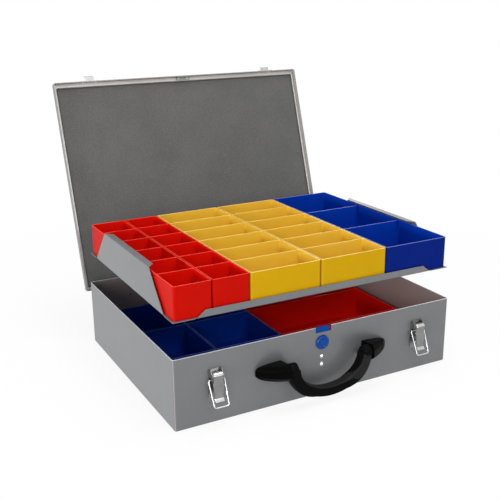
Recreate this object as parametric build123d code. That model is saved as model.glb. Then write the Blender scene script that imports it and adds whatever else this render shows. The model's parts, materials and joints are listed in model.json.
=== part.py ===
from build123d import *
import os
from math import asin, cos, radians, sin, sqrt

os.makedirs("parts", exist_ok=True)

# The grid of compartments that everything else is built round, in millimetres
pitch = 53.5
grid_columns = 8
grid_rows = 6
bin_height = 45.5
bin_gap = 1.2
bin_wall = 1.3
bin_floor = 1.4
bin_divider = 1.2
bin_corner = 2.6
bin_foot_round = 1.2
pocket_corner = 1.6

# Strips from left to right: name, pitches wide, compartments deep
tray_strips = [
    ("tray_bin_red_left", grid_columns // 8, grid_rows),
    ("tray_bin_red_right", grid_columns // 8, grid_rows),
    ("tray_bin_yellow_left", grid_columns // 4, grid_rows),
    ("tray_bin_yellow_right", grid_columns // 4, grid_rows),
    ("tray_bin_blue", grid_columns // 4, grid_rows // 2),
]
case_strips = [
    ("case_bin_blue_left", grid_columns // 4, grid_rows // 2),
    ("case_bin_blue_right", grid_columns // 4, grid_rows // 2),
    ("case_bin_red", grid_columns // 2, grid_rows // 2),
]

# Sheet steel and the clearances between pieces that only rest on each other
sheet = 1.0
bend_inside = 1.8
fold_inside = 1.0
seat_gap = 0.2
fit_gap = 0.05

# Tray
tray_play_x = 1.5
tray_play_y = 1.0
tray_rise = 100.5
tray_flange_height = 10.0
tray_flange_foot = 184.5
tray_flange_top = 171.5
tray_end_foot = 134.0
tray_end_top = 87.0
tray_lip_width = 10.5
tray_lip_chamfer = 10.0
tray_lip_room = 3.8

# Case
case_play_x = 2.5
case_play_y = 1.5
case_headroom = 1.6
notch_width = 25.4
notch_depth = 8.3
notch_shift = 2.0

# Lid, sized as it lies when shut
lid_gap = 1.5
lid_height = 11.5
lid_overlap = 6.0
lid_open_angle = 108.0
ledge_gap = 0.3
ledge_play = 0.4
ledge_side = 3.6
ledge_front = 6.6
ledge_back = 4.0
ledge_corner = 3.0
foam_play = 0.2
foam_proud = 0.2

# Hinges on the back, one at each side
hinge_spacing = 280.0
hinge_width = 50.0
hinge_axis_out = 3.0
hinge_axis_drop = 17.0
hinge_knuckle = 2.7
hinge_pin_radius = 1.2
hinge_end_knuckle = 15.0
hinge_side_play = 0.3
hinge_leaf = 1.0
hinge_case_leaf_drop = 23.0
hinge_lid_leaf_rise = 21.0
hinge_rivet_spacing = 32.0
hinge_case_rivet_drop = 15.0

# Rivets: shank, outer dome and the flat set head inside the sheet
rivet_shank = 1.5
rivet_head = 2.6
rivet_rise = 1.0
rivet_set_head = 2.2
rivet_set_rise = 0.9
lid_set_rise = 0.3

# Lock in the middle of the front
button_drop = 22.5
button_radius = 10.0
button_out = 3.6
button_dish = 1.2
button_rim = 1.8
button_play = 0.3
lock_plate = 0.6
lock_width = 16.0
lock_back_gap = 0.1
catch_width = 24.0
catch_height = 13.6
catch_top_drop = 0.4
catch_thickness = 1.0
foot_height = 22.0
foot_split_gap = 0.3
lock_rivet_head = 3.0
lock_rivet_rise = 1.9
lock_rivet_spacing = 12.0
lock_rivet_drop = 43.5
lock_rivet_set_rise = 0.5
foot_edge = 5.0

# Keeper on the lid that drops into the notch
keeper_play = 0.4
keeper_sheet = 0.9
keeper_length = 5.0
keeper_tongue = 6.6
keeper_rivet_spacing = 16.0
keeper_rivet_head = 1.4
keeper_rivet_rise = 0.6

# Toggle latches, one at each side of the front
latch_spacing = 324.4
latch_pivot_drop = 31.2
latch_pivot_out = 7.0
latch_base_half = 10.0
latch_base_up = 8.7
latch_base_down = 33.0
latch_base_corner = 2.0
latch_sheet = 1.0
latch_ear_round = 3.4
latch_ear_rise = 8.0
latch_ear_slope = 3.0
latch_side_play = 0.2
latch_pin_radius = 1.5
lever_head_half = 7.2
lever_head_round = 5.7
lever_front = 5.0
lever_back = -2.0
lever_shoulder_half = 7.85
lever_shoulder_drop = 10.4
lever_neck_drop = 7.5
lever_tip_half = 6.4
lever_tip_drop = 30.0
lever_curl_out = 3.2
lever_curl_drop = 3.3
lever_web_end = 14.0
latch_rivet_high = 10.0
latch_rivet_low = 24.0

# Wire bail carried in the lever's side walls
bail_wire = 1.0
bail_pivot_in = 3.0
bail_pivot_drop = 5.8
bail_lobe = 2.2
bail_length = 35.9
bail_top_half = 11.4
bail_bottom_half = 10.15
bail_top_bend = 2.0
bail_bottom_bend = 3.0
bail_hang_angle = 25.0

# Hook on the lid's skirt that the bail drops over
hook_sheet = 1.2
hook_plate_half = 14.0
hook_half = 7.5
hook_reach = 5.3
hook_flare_out = 2.4
hook_flare_rise = 3.6
hook_saddle_slack = 0.1
hook_plate_margin = 1.0
hook_rivet_spacing = 21.0

# Carrying handle
handle_pivot_drop = 42.0
handle_pivot_out = 20.0
handle_half_span = 57.1
handle_drop = 42.5
handle_side_radius = 38.0
grip_size = 16.0
grip_round = 5.5
knuckle_radius = 9.5
knuckle_width = 12.1
bracket_length = 38.4
bracket_side_play = 0.5
handle_pin_radius = 3.0
handle_pin_in_grip = 9.0
handle_pin_in_bracket = 6.4
handle_screw_first = 14.0
handle_screw_pitch = 14.0
handle_screw_shank = 1.6
handle_screw_head = 3.2
handle_screw_head_height = 1.1
handle_screw_depth = 3.4
handle_screw_below = 5.0

# Bracket sections beside the grip, half way along and at the far end: out from the wall, up from the pivot
bracket_near = [(0, 7.5), (26.0, 11.5), (31.0, 4.0), (30.6, -7.3), (18.0, -16.0), (0, -16.0)]
bracket_middle = [(0, 6.6), (15.5, 9.0), (19.5, 3.2), (19.2, -7.6), (11.5, -15.0), (0, -15.0)]
bracket_far = [(0, 5.0), (2.4, 5.6), (4.8, 2.0), (4.8, -8.0), (3.0, -13.2), (0, -14.0)]

# Sizes that follow from the ones above
grid_width = grid_columns * pitch
grid_depth = grid_rows * pitch
tray_width = grid_width + 2 * (tray_play_x + sheet)
tray_depth = grid_depth + 2 * (tray_play_y + sheet)
tray_end_height = sheet + seat_gap + bin_height + tray_lip_room + sheet
case_width = tray_width + 2 * (case_play_x + sheet)
case_depth = tray_depth + 2 * (case_play_y + sheet)
case_bins_z = sheet + seat_gap
tray_down_z = case_bins_z + bin_height + seat_gap
tray_z = tray_down_z + tray_rise
tray_bins_z = tray_z + sheet + seat_gap
case_height = tray_down_z + tray_end_height + case_headroom
lid_width = case_width + 2 * (lid_gap + sheet)
lid_depth = case_depth + 2 * (lid_gap + sheet)
lid_rim_z = case_height - lid_overlap
lid_top_z = lid_rim_z + lid_height
ledge_z = case_height + ledge_gap
front_y = -case_depth / 2
back_y = case_depth / 2
front_inner_y = front_y + sheet
back_inner_y = back_y - sheet
lid_front_y = -lid_depth / 2
lid_back_y = lid_depth / 2
hinge_y = back_y + hinge_axis_out
hinge_z = case_height - hinge_axis_drop
hinge_line = Axis((0, hinge_y, hinge_z), (1, 0, 0))
latch_z = case_height - latch_pivot_drop
latch_y = front_y - latch_pivot_out
bail_y = latch_y + bail_pivot_in
bail_z = latch_z - bail_pivot_drop
latch_ear_inner = lever_head_half + latch_side_play
latch_ear_outer = latch_ear_inner + latch_sheet
handle_y = front_y - handle_pivot_out
handle_z = case_height - handle_pivot_drop
knuckle_outer = handle_half_span + grip_size / 2
knuckle_inner = knuckle_outer - knuckle_width
bracket_inner = knuckle_outer + bracket_side_play
button_z = case_height - button_drop
lock_rivet_z = [case_height - lock_rivet_drop, case_height - lock_rivet_drop - lock_rivet_spacing]
rivet_hole = rivet_shank + fit_gap
sides = [("left", -1), ("right", 1)]


def block(x0, x1, y0, y1, z0, z1):
    centre = Pos((x0 + x1) / 2, (y0 + y1) / 2, (z0 + z1) / 2)
    return centre * Box(x1 - x0, y1 - y0, z1 - z0)


def rod_x(x0, x1, y, z, radius):
    return Pos((x0 + x1) / 2, y, z) * Rot(0, 90, 0) * Cylinder(radius, x1 - x0)


def rod_y(x, y0, y1, z, radius):
    return Pos(x, (y0 + y1) / 2, z) * Rot(90, 0, 0) * Cylinder(radius, y1 - y0)


# An outline of (y, z) points, drawn across the part from x0 to x1
def profile_x(points, x0, x1):
    plane = Plane(origin=(x0, 0, 0), x_dir=(0, 1, 0), z_dir=(1, 0, 0))
    return extrude(plane * make_face(Polyline(*points, close=True)), x1 - x0)


# An outline of (x, z) points, drawn from y0 to y1
def profile_y(points, y0, y1):
    plane = Plane(origin=(0, y1, 0), x_dir=(1, 0, 0), z_dir=(0, -1, 0))
    return extrude(plane * make_face(Polyline(*points, close=True)), y1 - y0)


# A folded shell, open at the top
def folded_box(width, depth, height):
    outer = extrude(RectangleRounded(width, depth, bend_inside + sheet), height)
    outer = fillet(outer.faces().sort_by(Axis.Z)[0].edges(), fold_inside + sheet)
    inner = extrude(RectangleRounded(width - 2 * sheet, depth - 2 * sheet, bend_inside), height)
    inner = fillet(inner.faces().sort_by(Axis.Z)[0].edges(), fold_inside)
    return outer - Pos(0, 0, sheet) * inner


# A domed rivet along +Z: its dome stands on z = 0 and its set head lies under the grip
def rivet(grip, head, rise, set_head, set_rise):
    sphere = (head * head + rise * rise) / (2 * rise)
    half_way = asin(min(1.0, head / sphere)) / 2
    middle = (sphere * sin(half_way), rise - sphere + sphere * cos(half_way))
    outline = ThreePointArc((0, rise), middle, (head, 0))
    under_dome = Polyline((head, 0), (rivet_shank, 0), (rivet_shank, -grip), (set_head, -grip))
    under_set = Polyline((set_head, -grip), (set_head, -grip - set_rise), (0, -grip - set_rise), (0, rise))
    return revolve(Plane.XZ * make_face(outline + under_dome + under_set), Axis.Z)


def rivet_facing_front(x, y, z, *sizes):
    return Pos(x, y, z) * Rot(90, 0, 0) * rivet(*sizes)


def rivet_facing_back(x, y, z, *sizes):
    return Pos(x, y, z) * Rot(-90, 0, 0) * rivet(*sizes)


# A strip of moulded compartments, one behind the other
def strip_bin(pitches, parts):
    width = pitches * pitch - bin_gap
    depth = grid_depth - bin_gap
    body = extrude(RectangleRounded(width, depth, bin_corner), bin_height)
    body = fillet(body.faces().sort_by(Axis.Z)[0].edges(), bin_foot_round)
    pocket_width = width - 2 * bin_wall
    pocket_depth = (depth - 2 * bin_wall - (parts - 1) * bin_divider) / parts
    pocket = extrude(RectangleRounded(pocket_width, pocket_depth, pocket_corner), bin_height)
    pocket = fillet(pocket.faces().sort_by(Axis.Z)[0].edges(), bin_foot_round)
    first = -depth / 2 + bin_wall + pocket_depth / 2
    for row in range(parts):
        y = first + row * (pocket_depth + bin_divider)
        body -= Pos(0, y, bin_floor) * pocket
    return body


# Sets a row of strips side by side across the grid
def place_strips(strips, z):
    placed = {}
    used = 0
    for name, pitches, parts in strips:
        x = -grid_width / 2 + (used + pitches / 2) * pitch
        placed[name] = Pos(x, 0, z) * strip_bin(pitches, parts)
        used += pitches
    return placed


def tray():
    half_width = tray_width / 2
    half_depth = tray_depth / 2
    top = tray_z + tray_end_height
    body = block(-half_width, half_width, -half_depth, half_depth, tray_z, tray_z + sheet)
    end = [(-tray_end_foot, tray_z), (tray_end_foot, tray_z), (tray_end_top, top), (-tray_end_top, top)]
    lip_tip = tray_end_top - tray_lip_chamfer
    for side in (-1, 1):
        outer = side * half_width
        inner = outer - side * sheet
        body += profile_x(end, min(outer, inner), max(outer, inner))
        edge = outer - side * tray_lip_width
        lip = [(outer, -tray_end_top), (outer, tray_end_top), (edge, lip_tip), (edge, -lip_tip)]
        body += Pos(0, 0, top - sheet) * extrude(make_face(Polyline(*lip, close=True)), sheet)
        flange_top = tray_z + tray_flange_height
        flange = [
            (-tray_flange_foot, tray_z),
            (tray_flange_foot, tray_z),
            (tray_flange_top, flange_top),
            (-tray_flange_top, flange_top),
        ]
        face = side * half_depth
        body += profile_y(flange, min(face, face - side * sheet), max(face, face - side * sheet))
    return body


# Places on the front wall, as x and z, of what is riveted or screwed through it
def latch_rivet_places():
    places = []
    for _, side in sides:
        for drop in (latch_rivet_high, latch_rivet_low):
            places.append((side * latch_spacing / 2, latch_z - drop))
    return places


def hinge_rivet_x():
    places = []
    for _, side in sides:
        for end in (-1, 1):
            places.append(side * hinge_spacing / 2 + end * hinge_rivet_spacing / 2)
    return places


def handle_screw_places():
    places = []
    for _, side in sides:
        for step in (0, 1):
            x = bracket_inner + handle_screw_first + step * handle_screw_pitch
            places.append((side * x, handle_z - handle_screw_below))
    return places


def case_shell():
    body = folded_box(case_width, case_depth, case_height)
    notch_left = notch_shift - notch_width / 2
    notch_right = notch_shift + notch_width / 2
    notch_z = case_height - notch_depth
    through = (front_y - sheet, front_inner_y + sheet)
    body -= block(notch_left, notch_right, *through, notch_z, case_height + sheet)
    body -= rod_y(0, *through, button_z, button_radius + button_play)
    for x, z in latch_rivet_places() + [(0, z) for z in lock_rivet_z]:
        body -= rod_y(x, *through, z, rivet_hole)
    for x, z in handle_screw_places():
        body -= rod_y(x, *through, z, handle_screw_shank + fit_gap)
    for x in hinge_rivet_x():
        z = hinge_z - hinge_case_rivet_drop
        body -= rod_y(x, back_inner_y - sheet, back_y + sheet, z, rivet_hole)
    return body


def hinge_case_leaf(side):
    x = side * hinge_spacing / 2
    half = hinge_width / 2
    foot = hinge_z - hinge_case_leaf_drop
    clear = hinge_z - hinge_knuckle - hinge_side_play
    leaf = block(x - half, x + half, back_y, back_y + hinge_leaf, foot, clear)
    for end in (-1, 1):
        outer = x + end * half
        inner = outer - end * hinge_end_knuckle
        low, high = min(outer, inner), max(outer, inner)
        leaf += block(low, high, back_y, back_y + hinge_leaf, foot, hinge_z)
        leaf += rod_x(low, high, hinge_y, hinge_z, hinge_knuckle)
    leaf -= rod_x(x - half - sheet, x + half + sheet, hinge_y, hinge_z, hinge_pin_radius + fit_gap)
    for end in (-1, 1):
        rivet_x = x + end * hinge_rivet_spacing / 2
        rivet_z = hinge_z - hinge_case_rivet_drop
        leaf -= rod_y(rivet_x, back_y - sheet, back_y + 2 * sheet, rivet_z, rivet_hole)
    return leaf


def lid_rivet_z():
    return (lid_rim_z + lid_top_z) / 2


def hinge_lid_leaf(side):
    x = side * hinge_spacing / 2
    half = hinge_width / 2
    inner_half = half - hinge_end_knuckle - hinge_side_play
    clear = hinge_z + hinge_knuckle + hinge_side_play
    top = hinge_z + hinge_lid_leaf_rise
    leaf = block(x - half, x + half, lid_back_y, lid_back_y + hinge_leaf, clear, top)
    leaf += block(x - inner_half, x + inner_half, lid_back_y, lid_back_y + hinge_leaf, hinge_z, clear)
    leaf += rod_x(x - inner_half, x + inner_half, hinge_y, hinge_z, hinge_knuckle)
    leaf -= rod_x(x - half, x + half, hinge_y, hinge_z, hinge_pin_radius + fit_gap)
    for end in (-1, 1):
        rivet_x = x + end * hinge_rivet_spacing / 2
        leaf -= rod_y(rivet_x, lid_back_y - sheet, lid_back_y + 2 * sheet, lid_rivet_z(), rivet_hole)
    return leaf


def hinge_pin(side):
    x = side * hinge_spacing / 2
    half = hinge_width / 2 + hinge_side_play
    return rod_x(x - half, x + half, hinge_y, hinge_z, hinge_pin_radius)


def hinge_case_rivets():
    grip = hinge_leaf + sheet
    sizes = (grip, rivet_head, rivet_rise, rivet_set_head, rivet_set_rise)
    z = hinge_z - hinge_case_rivet_drop
    return [rivet_facing_back(x, back_y + hinge_leaf, z, *sizes) for x in hinge_rivet_x()]


def hinge_lid_rivets():
    grip = hinge_leaf + sheet
    sizes = (grip, rivet_head, rivet_rise, rivet_set_head, lid_set_rise)
    return [rivet_facing_back(x, lid_back_y + hinge_leaf, lid_rivet_z(), *sizes) for x in hinge_rivet_x()]


def hook_rivet_x():
    places = []
    for _, side in sides:
        for end in (-1, 1):
            places.append(side * latch_spacing / 2 + end * hook_rivet_spacing / 2)
    return places


def lid_shell():
    upright = folded_box(lid_width, lid_depth, lid_height)
    body = Pos(0, 0, lid_top_z) * Rot(180, 0, 0) * upright
    for x in hook_rivet_x():
        body -= rod_y(x, lid_front_y - sheet, lid_front_y + 2 * sheet, lid_rivet_z(), rivet_hole)
    for x in hinge_rivet_x():
        body -= rod_y(x, lid_back_y - 2 * sheet, lid_back_y + sheet, lid_rivet_z(), rivet_hole)
    return body


def keeper_rivet_places():
    y = lid_front_y + sheet + keeper_length - 3 * keeper_rivet_head / 2
    return [(notch_shift + end * keeper_rivet_spacing / 2, y) for end in (-1, 1)]


# The opening in the ledge that shows the foam, as x and y limits
def ledge_opening():
    half_width = lid_width / 2 - sheet - ledge_side
    return -half_width, half_width, lid_front_y + sheet + ledge_front, lid_back_y - sheet - ledge_back


def ledge_window(play, height):
    x0, x1, y0, y1 = ledge_opening()
    outline = RectangleRounded(x1 - x0 - 2 * play, y1 - y0 - 2 * play, ledge_corner)
    return Pos((x0 + x1) / 2, (y0 + y1) / 2, 0) * extrude(outline, height)


def lid_ledge():
    width = lid_width - 2 * (sheet + ledge_play)
    depth = lid_depth - 2 * (sheet + ledge_play)
    body = Pos(0, 0, ledge_z) * extrude(RectangleRounded(width, depth, bend_inside), sheet)
    body -= Pos(0, 0, ledge_z - sheet) * ledge_window(0, 3 * sheet)
    for x, y in keeper_rivet_places():
        body -= Pos(x, y, ledge_z) * Cylinder(keeper_rivet_head / 2 + fit_gap, 4 * sheet)
    return body


def lid_foam():
    low = ledge_z - foam_proud
    return Pos(0, 0, low) * ledge_window(foam_play, lid_top_z - sheet - low)


def lid_keeper():
    half = notch_width / 2 - keeper_play
    outer = lid_front_y + sheet + ledge_play
    tongue = [
        (outer, ledge_z),
        (outer + keeper_length, ledge_z),
        (outer + keeper_length, ledge_z - keeper_sheet),
        (outer + keeper_sheet, ledge_z - keeper_sheet),
        (outer + keeper_sheet, ledge_z - keeper_tongue),
        (outer, ledge_z - keeper_tongue),
    ]
    body = profile_x(tongue, notch_shift - half, notch_shift + half)
    for x, y in keeper_rivet_places():
        body -= Pos(x, y, ledge_z) * Cylinder(keeper_rivet_head / 2 + fit_gap, 4 * sheet)
    return body


def keeper_rivets():
    solids = []
    for x, y in keeper_rivet_places():
        low = ledge_z - keeper_sheet
        grip = keeper_sheet + sheet
        shank = Pos(x, y, low + grip / 2) * Cylinder(keeper_rivet_head / 2, grip)
        head = Pos(x, y, low - keeper_rivet_rise / 2) * Cylinder(keeper_rivet_head, keeper_rivet_rise)
        solids.append(shank + head)
    return solids


# The bail's bar lies in the hook's saddle when the latch is shut
def lid_hook(side):
    x = side * latch_spacing / 2
    saddle = bail_z + bail_length - bail_wire - hook_saddle_slack
    low = saddle - hook_sheet
    wall = lid_front_y
    plate_low = lid_rim_z + hook_plate_margin
    plate_high = lid_top_z - hook_plate_margin
    body = block(x - hook_plate_half, x + hook_plate_half, wall - hook_sheet, wall, plate_low, plate_high)
    bend = wall - hook_sheet - hook_reach
    slant = hook_sheet / 2
    arm = [
        (wall, low),
        (bend - slant, low),
        (bend - hook_flare_out - slant, saddle + hook_flare_rise - slant),
        (bend - hook_flare_out + slant, saddle + hook_flare_rise),
        (bend + slant / 2, saddle),
        (wall, saddle),
    ]
    body += profile_x(arm, x - hook_half, x + hook_half)
    for end in (-1, 1):
        rivet_x = x + end * hook_rivet_spacing / 2
        body -= rod_y(rivet_x, wall - 2 * sheet, wall + sheet, lid_rivet_z(), rivet_hole)
    return body


def hook_rivets():
    grip = hook_sheet + sheet
    sizes = (grip, rivet_head, rivet_rise, rivet_set_head, lid_set_rise)
    return [rivet_facing_front(x, lid_front_y - hook_sheet, lid_rivet_z(), *sizes) for x in hook_rivet_x()]


def latch_base(side):
    x = side * latch_spacing / 2
    low = latch_z - latch_base_down
    high = latch_z + latch_base_up
    plate = block(x - latch_base_half, x + latch_base_half, front_y - latch_sheet, front_y, low, high)
    plate = fillet(plate.edges().filter_by(Axis.Y), latch_base_corner)
    ear = [
        (latch_y, latch_z - latch_ear_round),
        (front_y, latch_z - latch_ear_round),
        (front_y, latch_z + latch_ear_rise),
        (latch_y + latch_ear_slope, latch_z + latch_ear_rise),
        (latch_y, latch_z + latch_ear_round),
    ]
    for end in (-1, 1):
        low_x = x + min(end * latch_ear_inner, end * latch_ear_outer)
        high_x = low_x + latch_sheet
        plate += profile_x(ear, low_x, high_x)
        plate += rod_x(low_x, high_x, latch_y, latch_z, latch_ear_round)
    plate -= rod_x(x - latch_base_half, x + latch_base_half, latch_y, latch_z, latch_pin_radius + fit_gap)
    for rivet_x, rivet_z in latch_rivet_places():
        plate -= rod_y(rivet_x, front_y - 2 * sheet, front_y + sheet, rivet_z, rivet_hole)
    return plate


def latch_rivets():
    grip = latch_sheet + sheet
    sizes = (grip, rivet_head, rivet_rise, rivet_set_head, rivet_set_rise)
    return [rivet_facing_front(x, front_y - latch_sheet, z, *sizes) for x, z in latch_rivet_places()]


def latch_pin(side):
    x = side * latch_spacing / 2
    return rod_x(x - latch_ear_outer, x + latch_ear_outer, latch_y, latch_z, latch_pin_radius)


# The lever is a channel between the ears: a front web, a rounded head and two side walls for pin and bail
def latch_lever(side):
    x = side * latch_spacing / 2
    web_y = latch_y - lever_front
    front_outline = [
        (x - lever_head_half, latch_z + sqrt(lever_head_round ** 2 - lever_front ** 2)),
        (x - lever_head_half, latch_z - lever_neck_drop),
        (x - lever_shoulder_half, latch_z - lever_shoulder_drop),
        (x - lever_tip_half, latch_z - lever_tip_drop),
        (x + lever_tip_half, latch_z - lever_tip_drop),
        (x + lever_shoulder_half, latch_z - lever_shoulder_drop),
        (x + lever_head_half, latch_z - lever_neck_drop),
        (x + lever_head_half, latch_z + sqrt(lever_head_round ** 2 - lever_front ** 2)),
    ]
    body = profile_y(front_outline, web_y, web_y + latch_sheet)
    left, right = x - lever_head_half, x + lever_head_half
    top = latch_z + lever_head_round
    behind = latch_y + lever_head_round
    roof_window = block(left, right, web_y, latch_y - lever_back, latch_z, top)
    wall_window = block(left, right, web_y, behind, latch_z - lever_web_end, top)
    drum = rod_x(left, right, latch_y, latch_z, lever_head_round)
    hollow = rod_x(left, right, latch_y, latch_z, lever_head_round - latch_sheet)
    body += (drum - hollow) & roof_window
    wall_outline = [
        (web_y, latch_z),
        (web_y, latch_z - lever_web_end),
        (web_y + latch_sheet, latch_z - lever_web_end),
        (bail_y + bail_lobe, bail_z - bail_lobe),
        (bail_y, bail_z - bail_lobe),
        (bail_y + bail_lobe, bail_z),
        (behind, latch_z),
    ]
    for end in (-1, 1):
        low_x = x + min(end * lever_head_half, end * (lever_head_half - latch_sheet))
        high_x = low_x + latch_sheet
        wall = profile_x(wall_outline, low_x, high_x)
        wall += rod_x(low_x, high_x, latch_y, latch_z, lever_head_round) & wall_window
        wall += rod_x(low_x, high_x, bail_y, bail_z, bail_lobe)
        body += wall
    curl = [
        (web_y, latch_z - lever_tip_drop),
        (web_y + latch_sheet, latch_z - lever_tip_drop),
        (web_y - lever_curl_out + latch_sheet, latch_z - lever_tip_drop - lever_curl_drop),
        (web_y - lever_curl_out, latch_z - lever_tip_drop - lever_curl_drop + latch_sheet / 2),
    ]
    body += profile_x(curl, x - lever_tip_half, x + lever_tip_half)
    wide_left, wide_right = x - lever_shoulder_half, x + lever_shoulder_half
    body -= rod_x(wide_left, wide_right, latch_y, latch_z, latch_pin_radius + fit_gap)
    body -= rod_x(wide_left, wide_right, bail_y, bail_z, bail_wire + fit_gap)
    return body


def latch_bail(side):
    x = side * latch_spacing / 2
    lean = radians(bail_hang_angle)
    plane = Plane(origin=(x, bail_y, bail_z), x_dir=(1, 0, 0), z_dir=(0, -cos(lean), sin(lean)))
    end = lever_head_half - latch_sheet
    points = [
        (-end, 0),
        (-bail_top_half, 0),
        (-bail_bottom_half, -bail_length),
        (bail_bottom_half, -bail_length),
        (bail_top_half, 0),
        (end, 0),
    ]
    radii = [bail_top_bend, bail_bottom_bend, bail_bottom_bend, bail_top_bend]
    path = plane * FilletPolyline(*points, radius=radii)
    start = Plane(origin=path @ 0, z_dir=path % 0)
    return sweep(start * Circle(bail_wire), path)


def lock_rivets():
    grip = sheet + lock_plate
    sizes = (grip, lock_rivet_head, lock_rivet_rise, rivet_set_head, lock_rivet_set_rise)
    return [rivet_facing_front(0, front_y, z, *sizes) for z in lock_rivet_z]


def lock_foot():
    half = lock_width / 2
    top = lock_rivet_z[0] + foot_edge
    body = block(-half, half, front_inner_y, front_inner_y + lock_plate, top - foot_height, top)
    for z in lock_rivet_z:
        body -= rod_y(0, front_y, front_inner_y + 2 * sheet, z, rivet_hole)
    return body


# The leaf stands between the foot and the catch, behind the button
def lock_leaf():
    half = lock_width / 2
    low = lock_rivet_z[0] + foot_edge + foot_split_gap
    high = case_height - catch_top_drop - catch_height
    near = front_inner_y + lock_back_gap
    return block(-half, half, near, near + lock_plate, low, high)


def lock_catch():
    half = catch_width / 2
    high = case_height - catch_top_drop
    near = front_inner_y + lock_back_gap
    return block(-half, half, near, near + catch_thickness, high - catch_height, high)


# A round push button, dished inside a raised rim, standing on the leaf
def push_button():
    near = front_inner_y + lock_back_gap
    length = button_out + sheet + lock_back_gap
    face = near - length
    body = rod_y(0, face, near, button_z, button_radius)
    dish = button_radius - button_rim
    ball = (dish * dish + button_dish * button_dish) / (2 * button_dish)
    body -= Pos(0, face + button_dish - ball, button_z) * Sphere(ball)
    rim = body.faces().sort_by(Axis.Y)[0].edges().sort_by(SortBy.RADIUS)[-1]
    return fillet(rim, button_rim / 2)


def bracket_section(x, points):
    plane = Plane(origin=(x, front_y, handle_z), x_dir=(0, -1, 0), z_dir=(-1, 0, 0))
    return plane * make_face(Polyline(*points, close=True))


# A wedge that is deepest beside the grip and runs out to almost nothing at its far end
def handle_bracket(side):
    sections = [
        bracket_section(bracket_inner, bracket_near),
        bracket_section(bracket_inner + bracket_length / 2, bracket_middle),
        bracket_section(bracket_inner + bracket_length, bracket_far),
    ]
    body = loft(sections, ruled=True)
    pin_end = bracket_inner + handle_pin_in_bracket
    body -= rod_x(bracket_inner - sheet, pin_end, handle_y, handle_z, handle_pin_radius + fit_gap)
    for step in (0, 1):
        x = bracket_inner + handle_screw_first + step * handle_screw_pitch
        z = handle_z - handle_screw_below
        body -= rod_y(x, front_y - handle_screw_depth, front_y + sheet, z, handle_screw_shank)
    if side < 0:
        body = mirror(body, Plane.YZ)
    return body


def handle_pin(side):
    inner = knuckle_outer - handle_pin_in_grip
    body = rod_x(inner, bracket_inner + handle_pin_in_bracket, handle_y, handle_z, handle_pin_radius)
    if side < 0:
        body = mirror(body, Plane.YZ)
    return body


def handle_screws():
    solids = []
    for x, z in handle_screw_places():
        shank = rod_y(x, front_y - handle_screw_depth, front_inner_y, z, handle_screw_shank)
        head = rod_y(x, front_inner_y, front_inner_y + handle_screw_head_height, z, handle_screw_head)
        solids.append(shank + head)
    return solids


# Three arcs that meet smoothly: a shallow one below and a tighter one up each side
def handle_grip():
    side_centre = handle_half_span - handle_side_radius
    shift = handle_drop - handle_side_radius
    low_radius = (side_centre ** 2 + handle_drop ** 2 - handle_side_radius ** 2) / (2 * shift)
    low_centre = low_radius - handle_drop
    reach = low_radius / (low_radius - handle_side_radius)
    join = (side_centre * reach, low_centre - low_centre * reach)
    slant = sqrt(0.5)
    shoulder = (side_centre + handle_side_radius * slant, -handle_side_radius * slant)
    right = ThreePointArc((handle_half_span, 0), shoulder, join)
    bottom = ThreePointArc(join, (0, -handle_drop), (-join[0], join[1]))
    left = ThreePointArc((-join[0], join[1]), (-shoulder[0], shoulder[1]), (-handle_half_span, 0))
    plane = Plane(origin=(0, handle_y, handle_z), x_dir=(1, 0, 0), z_dir=(0, -1, 0))
    path = plane * Wire([right, bottom, left])
    start = Plane(origin=(handle_half_span, handle_y, handle_z), x_dir=(1, 0, 0), z_dir=(0, 0, -1))
    body = sweep(start * RectangleRounded(grip_size, grip_size, grip_round), path)
    pin_end = knuckle_outer - handle_pin_in_grip
    for side in (-1, 1):
        low_x = min(side * knuckle_inner, side * knuckle_outer)
        high_x = max(side * knuckle_inner, side * knuckle_outer)
        body += rod_x(low_x, high_x, handle_y, handle_z, knuckle_radius)
    for side in (-1, 1):
        low_x = min(side * (pin_end - fit_gap), side * (knuckle_outer + sheet))
        high_x = max(side * (pin_end - fit_gap), side * (knuckle_outer + sheet))
        body -= rod_x(low_x, high_x, handle_y, handle_z, handle_pin_radius + fit_gap)
    return body


def open_lid(shape):
    return shape.rotate(hinge_line, -lid_open_angle)


nodes = {
    "case_shell": case_shell(),
    "tray": tray(),
    "hinge_case_rivets": Compound(hinge_case_rivets()),
    "latch_rivets": Compound(latch_rivets()),
    "lock_rivets": Compound(lock_rivets()),
    "lock_foot": lock_foot(),
    "lock_leaf": lock_leaf(),
    "lock_catch": lock_catch(),
    "push_button": push_button(),
    "handle_screws": Compound(handle_screws()),
    "handle_grip": handle_grip(),
}
for side_name, side_sign in sides:
    nodes["hinge_case_leaf_" + side_name] = hinge_case_leaf(side_sign)
    nodes["hinge_pin_" + side_name] = hinge_pin(side_sign)
    nodes["latch_base_" + side_name] = latch_base(side_sign)
    nodes["latch_pin_" + side_name] = latch_pin(side_sign)
    nodes["latch_lever_" + side_name] = latch_lever(side_sign)
    nodes["latch_bail_" + side_name] = latch_bail(side_sign)
    nodes["handle_bracket_" + side_name] = handle_bracket(side_sign)
    nodes["handle_pin_" + side_name] = handle_pin(side_sign)
nodes.update(place_strips(tray_strips, tray_bins_z))
nodes.update(place_strips(case_strips, case_bins_z))

lid_nodes = {
    "lid_shell": lid_shell(),
    "lid_ledge": lid_ledge(),
    "lid_foam": lid_foam(),
    "lid_keeper": lid_keeper(),
    "keeper_rivets": Compound(keeper_rivets()),
    "hook_rivets": Compound(hook_rivets()),
    "hinge_lid_rivets": Compound(hinge_lid_rivets()),
}
for side_name, side_sign in sides:
    lid_nodes["hinge_lid_leaf_" + side_name] = hinge_lid_leaf(side_sign)
    lid_nodes["lid_hook_" + side_name] = lid_hook(side_sign)
for name, shape in lid_nodes.items():
    nodes[name] = open_lid(shape)

for name, shape in nodes.items():
    export_step(shape, "parts/" + name + ".step")
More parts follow.
